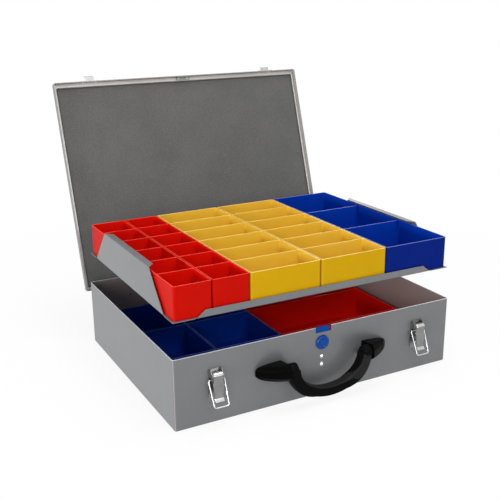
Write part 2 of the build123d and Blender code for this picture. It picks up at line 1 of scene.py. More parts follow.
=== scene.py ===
import json
import math

import bmesh
import bpy
from mathutils import Matrix, Vector, geometry, noise


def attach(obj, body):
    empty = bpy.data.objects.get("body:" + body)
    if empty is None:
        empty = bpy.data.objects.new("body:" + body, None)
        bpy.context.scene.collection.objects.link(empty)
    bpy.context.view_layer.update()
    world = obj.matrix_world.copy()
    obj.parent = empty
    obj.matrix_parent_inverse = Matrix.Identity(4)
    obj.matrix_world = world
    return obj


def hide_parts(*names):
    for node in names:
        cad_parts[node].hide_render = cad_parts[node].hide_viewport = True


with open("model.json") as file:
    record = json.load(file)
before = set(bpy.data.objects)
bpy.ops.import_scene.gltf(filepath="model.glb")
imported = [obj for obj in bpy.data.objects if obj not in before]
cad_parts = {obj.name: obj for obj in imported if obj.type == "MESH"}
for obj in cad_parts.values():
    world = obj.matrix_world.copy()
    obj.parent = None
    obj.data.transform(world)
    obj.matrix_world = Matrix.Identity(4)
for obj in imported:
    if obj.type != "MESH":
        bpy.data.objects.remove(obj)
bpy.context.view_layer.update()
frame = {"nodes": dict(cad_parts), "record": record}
nodes = frame["nodes"]
mm = 0.001
tiny = 0.001  # millimetres that a comparison may be out by
print("frame loaded:", len(nodes), "nodes")

sides = {"left": -1, "right": 1}
bodies = frame["record"]["behaviour"]["bodies"]
bodyOf = {node: body for body, members in bodies.items() for node in members}

# The lid's pieces are drawn shut and then swung open about the hinge
lid = {"openAngle": 108, "hingeY": 168, "hingeZ": 83}
hingePoint = Vector((0, lid["hingeY"], lid["hingeZ"])) * mm
openLid = (
    Matrix.Translation(hingePoint)
    @ Matrix.Rotation(math.radians(-lid["openAngle"]), 4, "X")
    @ Matrix.Translation(-hingePoint)
)


# A shader value that adds its own Math nodes when it is used in an expression
class Signal:
    def __init__(self, finish, socket):
        self.finish = finish
        self.socket = socket

    def maths(self, operation, first, second):
        return self.finish.add("ShaderNodeMath", {"operation": operation}, {0: first, 1: second})

    def __add__(self, other):
        return self.maths("ADD", self, other)

    def __sub__(self, other):
        return self.maths("SUBTRACT", self, other)

    def __mul__(self, other):
        return self.maths("MULTIPLY", self, other)

    def __rsub__(self, other):
        return self.maths("SUBTRACT", other, self)

    __radd__ = __add__
    __rmul__ = __mul__


# A node tree that starts empty and grows by one method
class Shading:
    def __init__(self, tree):
        self.tree = tree
        tree.nodes.clear()

    # One node: its type, its own settings first, then the values or links of its sockets
    def add(self, kind, settings, inputs, output=0):
        node = self.tree.nodes.new(kind)
        for key, value in settings.items():
            setattr(node, key, value)
        for key, value in inputs.items():
            self.feed(node.inputs[key], value)
        return Signal(self, node.outputs[output]) if output is not None else None

    def feed(self, socket, value):
        if isinstance(value, Signal):
            self.tree.links.new(value.socket, socket)
        else:
            socket.default_value = value


class Finish(Shading):
    def __init__(self, name):
        self.material = bpy.data.materials.new(name)
        self.material.use_nodes = True
        super().__init__(self.material.node_tree)
        self.place = self.add("ShaderNodeTexCoord", {}, {}, "Object")

    def noise(self, size, detail=3, roughness=0.5):
        inputs = {"Vector": self.place, "Scale": 1 / (size * mm), "Detail": detail, "Roughness": roughness}
        return self.add("ShaderNodeTexNoise", {}, inputs, "Fac")

    def ramp(self, value, low, high):
        inputs = {"Value": value, "From Min": low, "From Max": high}
        return self.add("ShaderNodeMapRange", {}, inputs, "Result")

    def colour(self, value):
        return value if isinstance(value, Signal) else value + (1,)

    def mixColours(self, factor, first, second):
        inputs = {0: factor, 6: self.colour(first), 7: self.colour(second)}
        return self.add("ShaderNodeMix", {"data_type": "RGBA"}, inputs, 2)

    def bump(self, height, depth, strength=1.0):
        inputs = {"Height": height, "Distance": depth * mm, "Strength": strength}
        return self.add("ShaderNodeBump", {}, inputs, "Normal")

    def coat(self, values):
        shader = self.add("ShaderNodeBsdfPrincipled", {}, values)
        self.add("ShaderNodeOutputMaterial", {}, {"Surface": shader}, None)
        return self.material


# Each finish has its looks, then the surface they share. A noise is its size in millimetres, its detail and
# its roughness; its limits are the values that become 0 and 1.
satin = {"pale": (0.158, 0.165, 0.173), "deep": (0.144, 0.150, 0.158), "metal": 0.3, "sheen": 0.38}
steelLooks = {
    "satinSteel": satin,
    "lidSteel": satin,
    "caseSteel": satin,
    # The ledge's steel is a paler, warmer copy of the same steel: painted light
    "litLedgeSteel": {"pale": (0.580, 0.558, 0.536), "deep": (0.500, 0.480, 0.460), "metal": 0.4, "sheen": 0.34},
}
steelSurface = {
    "cloud": (60, 3), "cloudLimits": (0.3, 0.7), "cloudRoughness": 0.05,
    "spots": (6, 5, 0.65), "spotLimits": (0.45, 0.75), "spotRoughness": 0.03,
    "grain": (0.7, 3, 0.6), "grainDepth": 0.007, "coat": 0.25, "coatRoughness": 0.18,
}

# Inside their walls the two shells get a paler, warmer colour: painted light and a painted reflection of the
# bins; the lid's sizes are those of the shut lid
insideLightPaint = {
    "lidSteel": {"halfX": 222.0, "halfY": 167.0, "pale": (0.37, 0.35, 0.33), "deep": (0.31, 0.294, 0.278)},
    "caseSteel": {"halfX": 219.5, "halfY": 164.5, "pale": (0.33, 0.283, 0.27), "deep": (0.29, 0.25, 0.24)},
}
insideFade = 0.1  # millimetres to each side of a limit

# A painted highlight runs along the case's cut rim
rimHighlightPaint = {"from": 99.3, "to": 99.7, "pale": (0.72,) * 3, "deep": (0.60,) * 3}


# Where the place lies inside a shell's walls, for a shell turned by the matrix
def insideWalls(finish, name, matrix):
    turned = matrix.to_3x3()

    def beyond(axis, limit):
        direction = turned @ Vector(axis)
        inputs = {0: finish.place, 1: direction}
        along = finish.add("ShaderNodeVectorMath", {"operation": "DOT_PRODUCT"}, inputs, "Value")
        fromMiddle = along - (matrix @ Vector()).dot(direction)
        away = finish.add("ShaderNodeMath", {"operation": "ABSOLUTE"}, {0: fromMiddle})
        return finish.ramp(away, (limit - insideFade) * mm, (limit + insideFade) * mm)

    outside = beyond((1, 0, 0), insideLightPaint[name]["halfX"]) + beyond((0, 1, 0), insideLightPaint[name]["halfY"])
    return 1 - finish.ramp(outside, 0, 1)  # the ramp keeps the sum at 1 where both are beyond


def steelFinish(name):
    look, surface = steelLooks[name], steelSurface
    finish = Finish(name)
    cloud = finish.noise(*surface["cloud"])
    grain = finish.noise(*surface["grain"])
    spots = finish.ramp(finish.noise(*surface["spots"]), *surface["spotLimits"])
    colour = finish.mixColours(finish.ramp(cloud, *surface["cloudLimits"]), look["deep"], look["pale"])
    # Painted light and painted reflection inside the shells' walls
    if name in insideLightPaint:
        insideLightColour = finish.mixColours(cloud, insideLightPaint[name]["deep"], insideLightPaint[name]["pale"])
        within = insideWalls(finish, name, openLid if name == "lidSteel" else Matrix())
        colour = finish.mixColours(within, colour, insideLightColour)
    # Painted highlight along the case's cut rim
    if name == "caseSteel":
        height = finish.add("ShaderNodeSeparateXYZ", {}, {"Vector": finish.place}, "Z")
        highlightColour = finish.mixColours(cloud, rimHighlightPaint["deep"], rimHighlightPaint["pale"])
        onRim = finish.ramp(height, rimHighlightPaint["from"] * mm, rimHighlightPaint["to"] * mm)
        colour = finish.mixColours(onRim, colour, highlightColour)
    return finish.coat({
        "Base Color": colour,
        "Metallic": look["metal"],
        "Roughness": look["sheen"] + surface["cloudRoughness"] * cloud + surface["spotRoughness"] * spots,
        "Coat Weight": surface["coat"],
        "Coat Roughness": surface["coatRoughness"],
        "Normal": finish.bump(grain, surface["grainDepth"]),
    })


zincLooks = {
    "brightZinc": {"pale": (0.60, 0.60, 0.60), "deep": (0.52, 0.52, 0.53), "sheen": 0.18},
    # A darker copy of the same zinc plate: painted shade
    "dullZinc": {"pale": (0.275, 0.275, 0.27), "deep": (0.23, 0.23, 0.23), "sheen": 0.24},
}
zincSurface = {
    "cloud": (9, 3), "cloudLimits": (0.3, 0.7), "cloudRoughness": 0.1,
    "grain": (0.3, 3, 0.6), "grainDepth": 0.002,
}


def zincFinish(name):
    look, surface = zincLooks[name], zincSurface
    finish = Finish(name)
    cloud = finish.noise(*surface["cloud"])
    grain = finish.noise(*surface["grain"])
    shade = finish.ramp(cloud, *surface["cloudLimits"])
    return finish.coat({
        "Base Color": finish.mixColours(shade, look["deep"], look["pale"]),
        "Metallic": 1.0,
        "Roughness": look["sheen"] + surface["cloudRoughness"] * cloud,
        "Normal": finish.bump(grain, surface["grainDepth"]),
    })


chromeLook = {
    "pale": (0.93, 0.93, 0.94), "deep": (0.86, 0.86, 0.87), "sheen": 0.06,
    "haze": (1.5, 4), "hazeRoughness": 0.08,
}


def chromeFinish():
    finish = Finish("polishedChrome")
    haze = finish.noise(*chromeLook["haze"])
    return finish.coat({
        "Base Color": finish.mixColours(haze, chromeLook["deep"], chromeLook["pale"]),
        "Metallic": 1.0,
        "Roughness": chromeLook["sheen"] + chromeLook["hazeRoughness"] * haze,
    })


# Moulded plastics share one recipe: a fine spark-eroded grain and a slow change of shade
plasticLooks = {
    "redPlastic": {"pale": (0.50, 0.005, 0.001), "deep": (0.445, 0.003, 0.001), "sheen": 0.36, "gloss": 0.03},
    "yellowPlastic": {"pale": (0.56, 0.322, 0.004), "deep": (0.505, 0.29, 0.003), "sheen": 0.4, "gloss": 0.03},
    "bluePlastic": {"pale": (0.001, 0.015, 0.186), "deep": (0.001, 0.011, 0.155), "sheen": 0.34, "gloss": 0.03},
    # The inside looks are paler copies of the outer plastics: painted light on the pockets' walls
    "redInside": {"pale": (0.72, 0.007, 0.002), "deep": (0.65, 0.005, 0.001), "sheen": 0.34, "gloss": 0.05},
    "yellowInside": {"pale": (0.79, 0.52, 0.055), "deep": (0.74, 0.475, 0.038), "sheen": 0.36, "gloss": 0.1},
    "blueInside": {"pale": (0.002, 0.046, 0.40), "deep": (0.001, 0.036, 0.33), "sheen": 0.32, "gloss": 0.08},
    # The rim looks are paler, glossier copies: a painted highlight along the rims
    "redRim": {"pale": (0.80, 0.030, 0.010), "deep": (0.72, 0.020, 0.008), "sheen": 0.25, "gloss": 0.35},
    "yellowRim": {"pale": (0.80, 0.58, 0.17), "deep": (0.76, 0.53, 0.13), "sheen": 0.25, "gloss": 0.4},
    "blueRim": {"pale": (0.12, 0.14, 0.50), "deep": (0.09, 0.11, 0.44), "sheen": 0.25, "gloss": 0.5},
    "buttonBlue": {"pale": (0.001, 0.060, 0.33), "deep": (0.001, 0.050, 0.28), "sheen": 0.2, "gloss": 0.04},
    "buttonCap": {"pale": (0.001, 0.050, 0.27), "deep": (0.001, 0.042, 0.23), "sheen": 0.1, "gloss": 0.15},
    "handleBlack": {"pale": (0.004,) * 3, "deep": (0.003,) * 3, "sheen": 0.26, "gloss": 0.02},
    # A paler copy of the black: painted sheen on the grip
    "handlePaintedSheen": {"pale": (0.016,) * 3, "deep": (0.012,) * 3, "sheen": 0.34, "gloss": 0.06},
    "bracketBlack": {"pale": (0.002,) * 3, "deep": (0.001,) * 3, "sheen": 0.24, "gloss": 0.018},
}
plasticSurface = {
    "flow": (24, 3), "flowRoughness": 0.05, "flowHeight": 0.5,
    "scuffs": (3.5, 6, 0.7), "scuffLimits": (0.52, 0.8), "scuffRoughness": 0.08,
    "grain": (0.45, 2, 0.6), "grainDepth": 0.012,
}


def plasticFinish(name):
    look, surface = plasticLooks[name], plasticSurface
    finish = Finish(name)
    flow = finish.noise(*surface["flow"])
    grain = finish.noise(*surface["grain"])
    scuffs = finish.ramp(finish.noise(*surface["scuffs"]), *surface["scuffLimits"])
    return finish.coat({
        "Base Color": finish.mixColours(flow, look["deep"], look["pale"]),
        "Roughness": look["sheen"] + surface["flowRoughness"] * flow + surface["scuffRoughness"] * scuffs,
        "Specular IOR Level": look["gloss"],
        "Normal": finish.bump(grain + surface["flowHeight"] * flow, surface["grainDepth"]),
    })


# The shares are how much the fibres, the cells and the patches count in the shade and in the bump
foamLook = {
    "pale": (0.134, 0.134, 0.132), "deep": (0.075, 0.075, 0.074), "roughness": 0.92, "gloss": 0.15,
    "cell": 1.3, "fibres": (2.2, 6, 0.7), "patches": (55, 3), "shadeShares": (0.6, 0.35, 0.3),
    "shadeLimits": (0.35, 0.85), "bumpShares": (0.6, 0.5), "bumpDepth": 0.6, "bumpStrength": 0.6,
}


def foamFinish():
    finish = Finish("openCellFoam")
    scale = 1 / (foamLook["cell"] * mm)
    cells = finish.add("ShaderNodeTexVoronoi", {}, {"Vector": finish.place, "Scale": scale}, "Distance")
    fibres = finish.noise(*foamLook["fibres"])
    patches = finish.noise(*foamLook["patches"])
    fibreShare, cellShare, patchShare = foamLook["shadeShares"]
    mixture = fibres * fibreShare + cells * cellShare + patches * patchShare
    shade = finish.ramp(mixture, *foamLook["shadeLimits"])
    fibreShare, cellShare = foamLook["bumpShares"]
    height = fibres * fibreShare + cells * cellShare
    return finish.coat({
        "Base Color": finish.mixColours(shade, foamLook["deep"], foamLook["pale"]),
        "Roughness": foamLook["roughness"],
        "Specular IOR Level": foamLook["gloss"],
        "Normal": finish.bump(height, foamLook["bumpDepth"], foamLook["bumpStrength"]),
    })


finishes = {name: plasticFinish(name) for name in plasticLooks}
finishes.update({name: zincFinish(name) for name in zincLooks})
finishes.update({name: steelFinish(name) for name in steelLooks})
finishes.update({
    "polishedChrome": chromeFinish(),
    "openCellFoam": foamFinish(),
})
finishOfSlot = {
    "steel_sheet": "satinSteel",
    "zinc_plate": "brightZinc",
    "bright_chrome": "polishedChrome",
    "black_plastic": "handleBlack",
    "grey_foam": "openCellFoam",
    "button_blue": "buttonBlue",
    "red_plastic": "redPlastic",
    "yellow_plastic": "yellowPlastic",
    "blue_plastic": "bluePlastic",
}
slotOfNode = {entry["node"]: entry["material_slot"] for entry in frame["record"]["subparts"]}
finishOfNode = {
    "lid_shell": "lidSteel", "case_shell": "caseSteel",
    "hinge_case_rivets": "satinSteel", "hinge_lid_rivets": "satinSteel",  # the hinges' zinc rivets take the case steel's darker colour: painted shade
}
# Latch, hinge, keeper and lock parts take the darker zinc copy: painted shade
shadedNodes = ("latch_lever_", "latch_base_", "hinge_", "lid_keeper", "lock_")


def finishOf(nodeName):
    finishName = finishOfNode.get(nodeName, finishOfSlot[slotOfNode[nodeName]])
    if finishName == "brightZinc" and nodeName.startswith(shadedNodes):
        finishName = "dullZinc"
    return finishName


for nodeName, node in nodes.items():
    for slot in node.material_slots:
        slot.material = finishes[finishOf(nodeName)]
print("finishes made:", len(finishes))


def makePiece(name, points, faces, finishName, smooth=True, matrix=None):
    mesh = bpy.data.meshes.new(name)
    mesh.from_pydata([tuple(c * mm for c in point) for point in points], [], faces)
    mesh.validate()
    if matrix:
        mesh.transform(matrix)
    tidy = bmesh.new()
    tidy.from_mesh(mesh)
    bmesh.ops.recalc_face_normals(tidy, faces=tidy.faces)
    tidy.to_mesh(mesh)
    tidy.free()
    for polygon in mesh.polygons:
        polygon.use_smooth = smooth
    piece = bpy.data.objects.new(name, mesh)
    bpy.context.scene.collection.objects.link(piece)
    mesh.materials.append(finishes[finishName])
    return piece


# Stands a piece in for a node on its body
def standFor(piece, nodeName):
    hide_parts(nodeName)
    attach(piece, bodyOf[nodeName])


def weighNormals(piece):
    weighted = piece.modifiers.new("flatFaces", "WEIGHTED_NORMAL")
    weighted.keep_sharp = False


def bevelEdges(piece, width, segments=2, angle=50):
    bevel = piece.modifiers.new("softEdges", "BEVEL")
    bevel.width = width * mm
    bevel.segments = segments
    bevel.limit_method = "ANGLE"
    bevel.angle_limit = math.radians(angle)
    bevel.harden_normals = False
    weighNormals(piece)


# Joins rings of points into a tube with closed ends, or into one endless band
def skinRings(rings, endless=False):
    count = len(rings[0])
    points = [point for ring in rings for point in ring]
    faces = []
    for row in range(len(rings) if endless else len(rings) - 1):
        start = row * count
        beyond = (row + 1) % len(rings) * count
        for step in range(count):
            after = (step + 1) % count
            faces.append((start + step, start + after, beyond + after, beyond + step))
    if not endless:
        faces.append(tuple(range(count - 1, -1, -1)))
        last = (len(rings) - 1) * count
        faces.append(tuple(range(last, last + count)))
    return points, faces


# Rounds the corners of a line drawn through (a, b) points
def roundLine(points, radius, steps):
    line = [Vector(points[0])]
    for before, corner, after in zip(points, points[1:], points[2:]):
        before, corner, after = Vector(before), Vector(corner), Vector(after)
        toBefore = (before - corner).normalized()
        toAfter = (after - corner).normalized()
        half = toBefore.angle(toAfter) / 2
        reach = radius / math.tan(half)
        centre = corner + (toBefore + toAfter).normalized() * (radius / math.sin(half))
        start = corner + toBefore * reach - centre
        end = corner + toAfter * reach - centre
        for step in range(steps + 1):
            line.append(centre + start.slerp(end, step / steps).normalized() * radius)
    line.append(Vector(points[-1]))
    return line


# The points round the edge of a grid that is numbered row by row
def rimOfGrid(rows, columns):
    last = (rows - 1) * columns
    return (
        list(range(columns))
        + [row * columns + columns - 1 for row in range(1, rows)]
        + [last + column for column in range(columns - 2, -1, -1)]
        + [row * columns for row in range(rows - 2, 0, -1)]
    )


# Adds another closed shell to the points and faces of a piece
def addShell(points, faces, morePoints, moreFaces):
    start = len(points)
    points.extend(morePoints)
    faces.extend(tuple(i + start for i in face) for face in moreFaces)


# Thickens a sheet of rows of points to one side; rows run across, each with the same count
def sheetRows(rows, normals, thickness):
    count = len(rows[0])
    points = [point for row in rows for point in row]
    lifts = [lift for row in normals for lift in row]
    offset = len(points)
    points += [tuple(Vector(point) + Vector(lift) * thickness) for point, lift in zip(points, lifts)]
    faces = []
    for row in range(len(rows) - 1):
        for column in range(count - 1):
            first = row * count + column
            quad = (first, first + 1, first + count + 1, first + count)
            faces.append(quad)
            faces.append(tuple(i + offset for i in (quad[0], *quad[:0:-1])))
    rim = rimOfGrid(len(rows), count)
    for i, after in zip(rim, rim[1:] + rim[:1]):
        faces.append((i, after, after + offset, i + offset))
    return points, faces


def circlePoints(radius, count):
    turns = [2 * math.pi * i / count for i in range(count)]
    return [(radius * math.cos(turn), radius * math.sin(turn)) for turn in turns]


# One ring of points round a rectangle with rounded corners
def roundedRing(middle, halfX, halfY, radius, z, steps=5):
    ring = []
    for quarter in range(4):
        cornerX = halfX - radius if quarter in (0, 3) else radius - halfX
        cornerY = halfY - radius if quarter in (0, 1) else radius - halfY
        for step in range(steps + 1):
            angle = math.radians(90 * (quarter + step / steps))
            x = middle[0] + cornerX + radius * math.cos(angle)
            y = middle[1] + cornerY + radius * math.sin(angle)
            ring.append((x, y, z))
    return ring


# Strips of moulded compartments with softly rounded rims
bins = {
    "pitch": 53.5, "columns": 8, "rows": 6, "gap": 1.2, "height": 45.5, "trayZ": 148.6, "caseZ": 1.2,
    "wall": 1.3, "divider": 1.2, "floor": 1.4, "corner": 2.6, "pocketCorner": 1.6,
    "foot": 1.2, "rim": 0.42, "arcSteps": 4,
}
trayStrips = [
    ("tray_bin_red_left", 1, 6), ("tray_bin_red_right", 1, 6), ("tray_bin_yellow_left", 2, 6),
    ("tray_bin_yellow_right", 2, 6), ("tray_bin_blue", 2, 3),
]
caseStrips = [("case_bin_blue_left", 2, 3), ("case_bin_blue_right", 2, 3), ("case_bin_red", 4, 3)]


# How far a rounded edge has come in, and up, on its way round a quarter circle
def quarterArc(radius):
    steps = bins["arcSteps"]
    turns = [math.pi / 2 * step / steps for step in range(steps + 1)]
    return [(radius * (1 - math.cos(turn)), radius * math.sin(turn)) for turn in turns]


def stripBin(name, pitches, parts, x, z):
    halfX = (pitches * bins["pitch"] - bins["gap"]) / 2
    halfY = (bins["rows"] * bins["pitch"] - bins["gap"]) / 2
    height, rim, foot = bins["height"], bins["rim"], bins["foot"]
    points, faces, finishIndex = [], [], []
    shell, inside, top = range(3)

    def addFaces(more, index):
        faces.extend(more)
        finishIndex.extend([index] * len(more))

    # A wall of rings from the foot up or from the rim down; returns its ring at the rim
    def addWall(middle, sizeX, sizeY, radius, profile, rimFirst):
        start = len(points)
        for inset, up in profile:
            points.extend(roundedRing(middle, sizeX - inset, sizeY - inset, radius - inset, z + up))
        count = (len(points) - start) // len(profile)
        for row in range(len(profile) - 1):
            onRim = min(profile[row][1], profile[row + 1][1]) >= height - rim - tiny
            first = start + row * count
            ring = [(first + i, first + (i + 1) % count) for i in range(count)]
            quads = [(a, b, b + count, a + count) for a, b in ring]
            addFaces(quads, top if onRim else inside if rimFirst else shell)
        ends = [range(start, start + count), range(len(points) - count, len(points))]
        rimEnd, floorEnd = ends if rimFirst else reversed(ends)
        addFaces([tuple(floorEnd)], inside if rimFirst else shell)
        return list(rimEnd)

    outer = [(foot - up, foot - inset) for inset, up in quarterArc(foot)]
    outer += [(inset, height - rim + up) for inset, up in quarterArc(rim)]
    loops = [addWall((x, 0), halfX, halfY, bins["corner"], outer, False)]
    pocketX = halfX - bins["wall"]
    pocketY = (2 * halfY - 2 * bins["wall"] - (parts - 1) * bins["divider"]) / parts / 2
    inner = [(-inset, height - rim + up) for inset, up in reversed(quarterArc(rim))]
    inner += [(inset, bins["floor"] + foot - up) for inset, up in quarterArc(foot)]
    for row in range(parts):
        y = -halfY + bins["wall"] + pocketY + row * (2 * pocketY + bins["divider"])
        loops.append(addWall((x, y), pocketX, pocketY, bins["pocketCorner"], inner, True))
    flat = [i for loop in loops for i in loop]
    triangles = geometry.tessellate_polygon([[Vector(points[i]) for i in loop] for loop in loops])
    addFaces([tuple(flat[i] for i in triangle) for triangle in triangles], top)
    colour = [word for word in ("red", "yellow", "blue") if word in name][0]
    piece = makePiece("strip_" + name, points, faces, colour + "Plastic")
    # The pockets take the paler copy: painted light
    piece.data.materials.append(finishes[colour + "Inside"])
    # The rims take the paler, glossier copy: painted highlight
    piece.data.materials.append(finishes[colour + "Rim"])
    piece.data.polygons.foreach_set("material_index", finishIndex)
    weighNormals(piece)
    standFor(piece, name)


def stripRow(strips, z):
    used = 0
    for name, pitches, parts in strips:
        x = (used + pitches / 2 - bins["columns"] / 2) * bins["pitch"]
        stripBin(name, pitches, parts, x, z)
        used += pitches


stripRow(trayStrips, bins["trayZ"])
stripRow(caseStrips, bins["caseZ"])
print("strips moulded:", len(trayStrips) + len(caseStrips))


# Ledge round the lid's inside: a flat frame with a bead and a turned-in edge where the foam begins
ledge = {
    "halfX": 221.1, "halfY": 166.1, "corner": 1.8, "face": 100.3, "sheet": 1.0, "turnedIn": 102.4,
    "holeX": 217.9, "front": -159.9, "back": 162.5, "holeCorner": 3.0,
    "bead": 1.0, "rise": 0.45, "beadSteps": 8,
}


def lidLedge():
    holeMiddle = (0, (ledge["front"] + ledge["back"]) / 2)
    holeY = (ledge["back"] - ledge["front"]) / 2
    face, bead, rise = ledge["face"], ledge["bead"], ledge["rise"]

    def holeRing(out, z):
        return roundedRing(holeMiddle, ledge["holeX"] + out, holeY + out, ledge["holeCorner"] + out, z)

    rings = [
        roundedRing((0, 0), ledge["halfX"], ledge["halfY"], ledge["corner"], face + ledge["sheet"]),
        roundedRing((0, 0), ledge["halfX"], ledge["halfY"], ledge["corner"], face),
        holeRing(bead, face),
    ]
    for step in range(1, ledge["beadSteps"]):
        turn = math.pi * step / ledge["beadSteps"]
        rings.append(holeRing(bead * (1 + math.cos(turn)) / 2, face - rise * math.sin(turn)))
    sheet, turnedIn = ledge["sheet"], ledge["turnedIn"]
    rings += [holeRing(0, face), holeRing(0, turnedIn)]
    rings += [holeRing(sheet, turnedIn), holeRing(sheet, face + sheet)]
    points, faces = skinRings(rings, True)
    # Its paler steel is painted light
    piece = makePiece("lidLedge", points, faces, "litLedgeSteel", matrix=openLid)
    weighNormals(piece)
    standFor(piece, "lid_ledge")


lidLedge()
print("ledge made")


# Foam lining: a slightly uneven pad with soft edges, sunk behind the ledge.
# A wave is its length, its share of the unevenness and the level of the noise it is read at.
foam = {
    "halfWidth": 217.2, "front": -159.2, "back": 161.8, "face": 101.5, "top": 104.4,
    "step": 4.5, "crowding": 1.25, "edgeSoft": 2.4, "edgeDrop": 1.2,
    "sag": 0.25, "sagShare": 0.6, "waves": ((26, 0.4, 3.1), (9, 0.2, 8.2)),
}


def foamLining():
    width = 2 * foam["halfWidth"]
    depth = foam["back"] - foam["front"]
    columns = round(width / foam["step"])
    rows = round(depth / foam["step"])
    middle = (foam["front"] + foam["back"]) / 2

    # Closer rows near the rim, where the edge rounds off
    def spread(index, count, length):
        t = index / count * 2 - 1
        bent = math.copysign(1 - (1 - abs(t)) ** foam["crowding"], t)
        return bent * length / 2

    points, faces = [], []
    for row in range(rows + 1):
        for column in range(columns + 1):
            x = spread(column, columns, width)
            y = spread(row, rows, depth)
            edge = min(width / 2 - abs(x), depth / 2 - abs(y))
            rolled = max(0.0, 1 - edge / foam["edgeSoft"]) ** 2 * foam["edgeDrop"]
            uneven = foam["sagShare"]
            for length, share, level in foam["waves"]:
                uneven += share * noise.noise(Vector((x / length, y / length, level)))
            points.append((x, middle + y, foam["face"] + rolled + foam["sag"] * uneven))
    across = columns + 1
    for row in range(rows):
        for column in range(columns):
            first = row * across + column
            faces.append((first, first + 1, first + across + 1, first + across))
    rim = rimOfGrid(rows + 1, across)
    start = len(points)
    points += [(points[i][0], points[i][1], foam["top"]) for i in rim]
    for i in range(len(rim)):
        after = (i + 1) % len(rim)
        faces.append((rim[i], rim[after], start + after, start + i))
    faces.append(tuple(range(start, start + len(rim))))
    piece = makePiece("foamLining", points, faces, "openCellFoam", matrix=openLid)
    standFor(piece, "lid_foam")


foamLining()
print("foam lining made")


# Lock button: a turned disc with a rounded rim, a groove and a shallow crown
button = {
    "z": 77.5, "stem": -165.0, "turnPoints": 64,
    "profile": [  # radius and how far out
        (10.0, 0.0), (10.0, 1.2), (9.85, 1.9), (9.45, 2.6), (8.85, 3.15), (8.1, 3.5), (7.4, 3.6),
        (6.8, 3.4), (6.3, 3.0), (5.9, 2.7), (5.4, 2.6), (4.6, 2.7), (3.6, 2.85), (1.8, 3.0), (0.4, 3.05),
    ],
}


def lockButton():
    rings = []
    for radius, out in button["profile"]:
        circle = circlePoints(radius, button["turnPoints"])
        rings.append([(x, button["stem"] - out, button["z"] + z) for x, z in circle])
    points, faces = skinRings(rings)
    piece = makePiece("lockButton", points, faces, "buttonCap")
    standFor(piece, "push_button")


lockButton()
print("button turned")


# Latch levers: a pressed channel that wraps the pin at its head and curls out at its tip.
# A row is its place out from and above the pin, its half width, its edges' round and its walls' depth.
lever = {
    "pinY": -172.0, "pinZ": 68.8, "spread": 162.2, "sheet": 1.0, "edgeSteps": 4, "cutEdge": 0.2,
    "head": 5.7, "headTurns": (38, 68, 95, 118, 140, 158), "headWall": (7.2, 1.6, 5.0),
    "highlightAbove": 2.6, "highlightBelow": -29.4,
    "rows": [
        (5.0, 1.6, 7.2, 2.4, 5.0), (5.0, -1.5, 7.2, 2.4, 5.4), (5.0, -4.4, 7.2, 2.4, 9.6),
        (5.0, -7.2, 7.2, 2.3, 9.6), (5.0, -10.4, 7.8, 2.0, 4.0), (5.0, -14.0, 7.5, 1.7, 1.9),
        (5.0, -20.0, 7.1, 1.5, 1.7), (5.0, -27.0, 6.6, 1.3, 1.5), (5.0, -28.6, 6.5, 1.0, 1.2),
        (5.3, -29.5, 6.4, 0.6, 0.8), (6.4, -30.9, 6.4, 0.4, 0.6), (7.9, -32.7, 6.2, 0.4, 0.6),
        (8.2, -33.0, 6.1, 0.4, 0.6),
    ],
}


def latchLever(name, side):
    rows = []
    for turn in lever["headTurns"]:
        angle = math.radians(turn)
        rows.append((-math.cos(angle) * lever["head"], math.sin(angle) * lever["head"], *lever["headWall"]))
    rows += lever["rows"]
    centres = [Vector((-row[0], row[1])) for row in rows]
    middle = side * lever["spread"]
    points, normals = [], []
    for i, (out, up, half, edge, deep) in enumerate(rows):
        along = (centres[min(i + 1, len(rows) - 1)] - centres[max(i - 1, 0)]).normalized()
        inward = Vector((-along.y, along.x))
        line, lifts = [], []
        for end in (-1, 1):
            wall = [(half, deep, 0), (half, (deep + edge) / 2, 0)]
            for step in range(lever["edgeSteps"] + 1):
                turn = math.pi / 2 * step / lever["edgeSteps"]
                wall.append((half - edge + edge * math.cos(turn), edge - edge * math.sin(turn), turn))
            for across, depth, turn in wall if end < 0 else wall[::-1]:
                place = centres[i] + inward * depth
                lift = inward * math.sin(turn)
                line.append((middle + end * across, lever["pinY"] + place.x, lever["pinZ"] + place.y))
                lifts.append(Vector((-end * math.cos(turn), lift.x, lift.y)))
        points.append(line)
        normals.append(lifts)
    piece = makePiece("latchLever_" + name, *sheetRows(points, normals, lever["sheet"]), "dullZinc")
    piece.data.materials.append(finishes["brightZinc"])
    for polygon in piece.data.polygons:  # painted shade on the body, painted highlight over the head and on the curl
        up = polygon.center.z / mm - lever["pinZ"]
        polygon.material_index = int(up > lever["highlightAbove"] or up < lever["highlightBelow"])
    bevelEdges(piece, lever["cutEdge"])
    standFor(piece, "latch_lever_" + name)


# Carrying handle: an arched grip with flat-sided arms and a round knuckle at each end.
# A painted sheen lies on a run of each ring's sides, which turns to the front up the right arm.
grip = {
    "pivotY": -185, "pivotZ": 58, "halfSpan": 57.1, "drop": 42.5, "sideRadius": 38,
    "steps": 96, "ringPoints": 48,
    "lowWide": 13.0, "lowDeep": 15.0, "lowSwell": 0.05, "squareness": 5.0,
    "armWide": 15.2, "armDeep": 19.6, "armSwell": 3.6, "armFrom": 0.3, "armCurve": 0.8,
    "sheenFrom": 18, "sheenSides": 12, "turnFrom": 0.2, "turnTo": 0.8,
    "knuckleRadius": 9.5, "knuckleInner": 53.0, "knuckleOuter": 65.1, "knucklePoints": 40,
    "knuckleEdge": ((0, 1.6), (0.5, 0.5), (1.6, 0)),  # how far along and how far in
}


